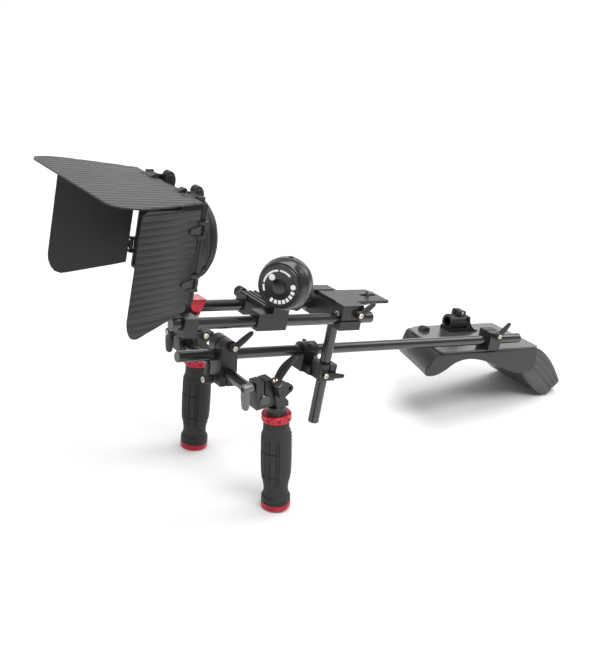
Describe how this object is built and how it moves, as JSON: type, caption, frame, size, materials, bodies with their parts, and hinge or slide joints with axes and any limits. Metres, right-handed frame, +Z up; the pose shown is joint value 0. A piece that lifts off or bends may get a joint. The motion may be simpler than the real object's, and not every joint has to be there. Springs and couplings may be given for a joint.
{
  "type": "camera shoulder rig",
  "caption": "Camera shoulder rig: hooded matte box, follow focus and camera plate on twin rods, two upright grips, long rod to a saddle-shaped shoulder pad.",
  "frame": {"origin": "middle of the footprint, on the floor the grips and the tail stand on", "axes": "+X towards the rear (shoulder pad), +Y to the far side (the user's right), +Z up; the rods are tipped 7.5 degrees nose-up about +Y"},
  "size_m": [0.8866, 0.2645, 0.4476],
  "materials": {
    "rod_black": "satin black anodised tube with long soft highlights",
    "machined_black": "matt black anodised machined aluminium",
    "lever_black": "moulded black lever over a steel screw",
    "red_anodised": "bright red anodised",
    "grip_rubber": "ribbed matt rubber",
    "flange_black": "plain matt black",
    "steel": "machined steel",
    "wheel_grey": "smooth dark grey, softly polished",
    "dial_black": "black dial with plain white marks",
    "flap_grey": "matt ribbed sheet",
    "housing_black": "moulded matt black",
    "plate_grey": "glossy grey sheet",
    "shell_grey": "moulded satin shell"
  },
  "bodies": {
    "lower_frame": {"long_rod": "rod_black", "handle_block": "machined_black", "cross_bar": "rod_black"},
    "block_lever": {"handle_block_lever": "lever_black"},
    "bar_lever": {"cross_bar_lever": "lever_black"},
    "cross_clamp": {"cross_clamp_body": "machined_black", "cross_clamp_cap": "machined_black"},
    "upright_lever": {"cross_clamp_lever": "lever_black"},
    "camera_base": {"vertical_rod": "rod_black", "base_block": "machined_black", "upper_rod_left": "rod_black", "upper_rod_right": "rod_black"},
    "base_lever": {"base_block_lever": "lever_black"},
    "plate": {"camera_plate": "machined_black"},
    "stud": {"camera_screw": "steel"},
    "follow_unit": {"follow_bridge": "machined_black", "follow_gearbox": "machined_black"},
    "follow_knob": {"follow_clamp_knob": "lever_black"},
    "wheel": {"follow_shaft": "steel", "follow_hand_wheel": "wheel_grey", "follow_dial": "dial_black", "follow_drive_gear": "housing_black"},
    "matte_box": {"matte_rod_clamp": "red_anodised", "matte_near_clamp": "machined_black", "matte_support_arm": "machined_black", "matte_housing": "housing_black", "matte_adaptor_ring": "housing_black", "matte_hinge_pins": "machined_black", "flap_knobs": "housing_black"},
    "matte_knob": {"matte_clamp_knob": "lever_black"},
    "top_shade": {"top_flap": "flap_grey"},
    "left_shade": {"left_flap": "flap_grey"},
    "right_shade": {"right_flap": "flap_grey"},
    "shoulder_unit": {"shoulder_plate": "plate_grey", "shoulder_shell": "shell_grey", "shoulder_tail": "shell_grey", "shoulder_near_clamp": "machined_black", "shoulder_far_clamp": "machined_black", "shoulder_bolts": "steel", "shoulder_bumper": "flange_black"},
    "shoulder_lever": {"shoulder_clamp_lever": "lever_black"},
    "left_clamp": {"left_joint_clamp": "machined_black"},
    "left_clamp_lever": {"left_joint_lever": "lever_black"},
    "left_tilt_lever": {"left_ratchet_lever": "lever_black"},
    "left_handle": {"left_tilt_bracket": "machined_black", "left_grip_stem": "machined_black", "left_top_collar": "red_anodised", "left_grip_sleeve": "grip_rubber", "left_grip_flange": "flange_black", "left_bottom_cap": "red_anodised"},
    "right_clamp": {"right_joint_clamp": "machined_black"},
    "right_clamp_lever": {"right_joint_lever": "lever_black"},
    "right_tilt_lever": {"right_ratchet_lever": "lever_black"},
    "right_handle": {"right_tilt_bracket": "machined_black", "right_grip_stem": "machined_black", "right_top_collar": "red_anodised", "right_grip_sleeve": "grip_rubber", "right_grip_flange": "flange_black", "right_bottom_cap": "red_anodised"}
  },
  "joints": [
    {"name": "block_lever_turn", "type": "hinge", "parent": "lower_frame", "child": "block_lever", "pos_m": [-0.20642, -0.00306, 0.19973], "axis": [0, 1, 0], "range_deg": [-40, 40]},
    {"name": "bar_lever_turn", "type": "hinge", "parent": "lower_frame", "child": "bar_lever", "pos_m": [-0.23179, 0.01694, 0.15264], "axis": [0.9914, 0, -0.1305], "range_deg": [-60, 60]},
    {"name": "left_handle_swing", "type": "hinge", "parent": "lower_frame", "child": "left_clamp", "pos_m": [-0.21076, -0.08006, 0.16299], "axis": [0, 1, 0], "range_deg": [-15, 15]},
    {"name": "left_clamp_lever_turn", "type": "hinge", "parent": "left_clamp", "child": "left_clamp_lever", "pos_m": [-0.232, -0.07706, 0.17951], "axis": [0.9974, 0, 0.0715], "range_deg": [-45, 45]},
    {"name": "left_handle_tilt", "type": "hinge", "parent": "left_clamp", "child": "left_handle", "pos_m": [-0.19021, -0.08006, 0.17699], "axis": [0, -1, 0], "range_deg": [-5, 30]},
    {"name": "left_tilt_lever_turn", "type": "hinge", "parent": "left_handle", "child": "left_tilt_lever", "pos_m": [-0.19743, -0.09406, 0.1868], "axis": [-0.7206, 0, 0.6934], "range_deg": [-50, 10]},
    {"name": "right_handle_swing", "type": "hinge", "parent": "lower_frame", "child": "right_clamp", "pos_m": [-0.21076, 0.11394, 0.16299], "axis": [0, 1, 0], "range_deg": [-15, 15]},
    {"name": "right_clamp_lever_turn", "type": "hinge", "parent": "right_clamp", "child": "right_clamp_lever", "pos_m": [-0.23076, 0.11694, 0.18099], "axis": [1, 0, 0], "range_deg": [-45, 45]},
    {"name": "right_handle_tilt", "type": "hinge", "parent": "right_clamp", "child": "right_handle", "pos_m": [-0.18926, 0.11394, 0.17549], "axis": [0, -1, 0], "range_deg": [-5, 30]},
    {"name": "right_tilt_lever_turn", "type": "hinge", "parent": "right_clamp", "child": "right_tilt_lever", "pos_m": [-0.18926, 0.09994, 0.17549], "axis": [0, 1, 0], "range_deg": [-3, 60]},
    {"name": "cross_clamp_slide", "type": "slide", "parent": "lower_frame", "child": "cross_clamp", "axis": [0.9914, 0, -0.1305], "range_m": [-0.02, 0.02]},
    {"name": "upright_lever_turn", "type": "hinge", "parent": "cross_clamp", "child": "upright_lever", "pos_m": [-0.08085, -0.03406, 0.14992], "axis": [0, 1, 0], "range_deg": [-60, 60]},
    {"name": "upright_slide", "type": "slide", "parent": "cross_clamp", "child": "camera_base", "axis": [0.1305, 0, 0.9914], "range_m": [-0.008, 0.012]},
    {"name": "base_lever_turn", "type": "hinge", "parent": "camera_base", "child": "base_lever", "pos_m": [-0.05643, -0.06406, 0.24353], "axis": [0, 1, 0], "range_deg": [-30, 45]},
    {"name": "plate_slide", "type": "slide", "parent": "camera_base", "child": "plate", "axis": [0.9914, 0, -0.1305], "range_m": [-0.006, 0.012]},
    {"name": "camera_screw_turn", "type": "hinge", "parent": "plate", "child": "stud", "pos_m": [-0.00938, -0.01906, 0.24843], "axis": [0.1305, 0, 0.9914], "continuous": true},
    {"name": "follow_slide", "type": "slide", "parent": "camera_base", "child": "follow_unit", "axis": [0.9914, 0, -0.1305], "range_m": [-0.015, 0.02]},
    {"name": "follow_knob_turn", "type": "hinge", "parent": "follow_unit", "child": "follow_knob", "pos_m": [-0.18114, 0.02594, 0.26156], "axis": [0, 1, 0], "continuous": true},
    {"name": "focus_turn", "type": "hinge", "parent": "follow_unit", "child": "wheel", "pos_m": [-0.19901, -0.08106, 0.30971], "axis": [0.8315, 0.5446, -0.1095], "continuous": true},
    {"name": "matte_box_slide", "type": "slide", "parent": "camera_base", "child": "matte_box", "axis": [0.9914, 0, -0.1305], "range_m": [-0.01, 0.01]},
    {"name": "matte_knob_turn", "type": "hinge", "parent": "matte_box", "child": "matte_knob", "pos_m": [-0.26257, 0.02594, 0.27127], "axis": [0, 1, 0], "continuous": true},
    {"name": "top_flap_hinge", "type": "hinge", "parent": "matte_box", "child": "top_shade", "pos_m": [-0.31432, -0.01906, 0.42979], "axis": [0, 1, 0], "range_deg": [0, 60]},
    {"name": "left_flap_hinge", "type": "hinge", "parent": "matte_box", "child": "left_shade", "pos_m": [-0.32265, -0.09216, 0.37036], "axis": [0.1305, 0, 0.9914], "range_deg": [-40, 15]},
    {"name": "right_flap_hinge", "type": "hinge", "parent": "matte_box", "child": "right_shade", "pos_m": [-0.32265, 0.05404, 0.37036], "axis": [0.1305, 0, 0.9914], "range_deg": [-15, 40]},
    {"name": "shoulder_slide", "type": "slide", "parent": "lower_frame", "child": "shoulder_unit", "axis": [0.9914, 0, -0.1305], "range_m": [-0.03, 0.02]},
    {"name": "shoulder_lever_turn", "type": "hinge", "parent": "shoulder_unit", "child": "shoulder_lever", "pos_m": [0.27285, 0.00094, 0.1321], "axis": [0, 1, 0], "range_deg": [-30, 40]}
  ]
}
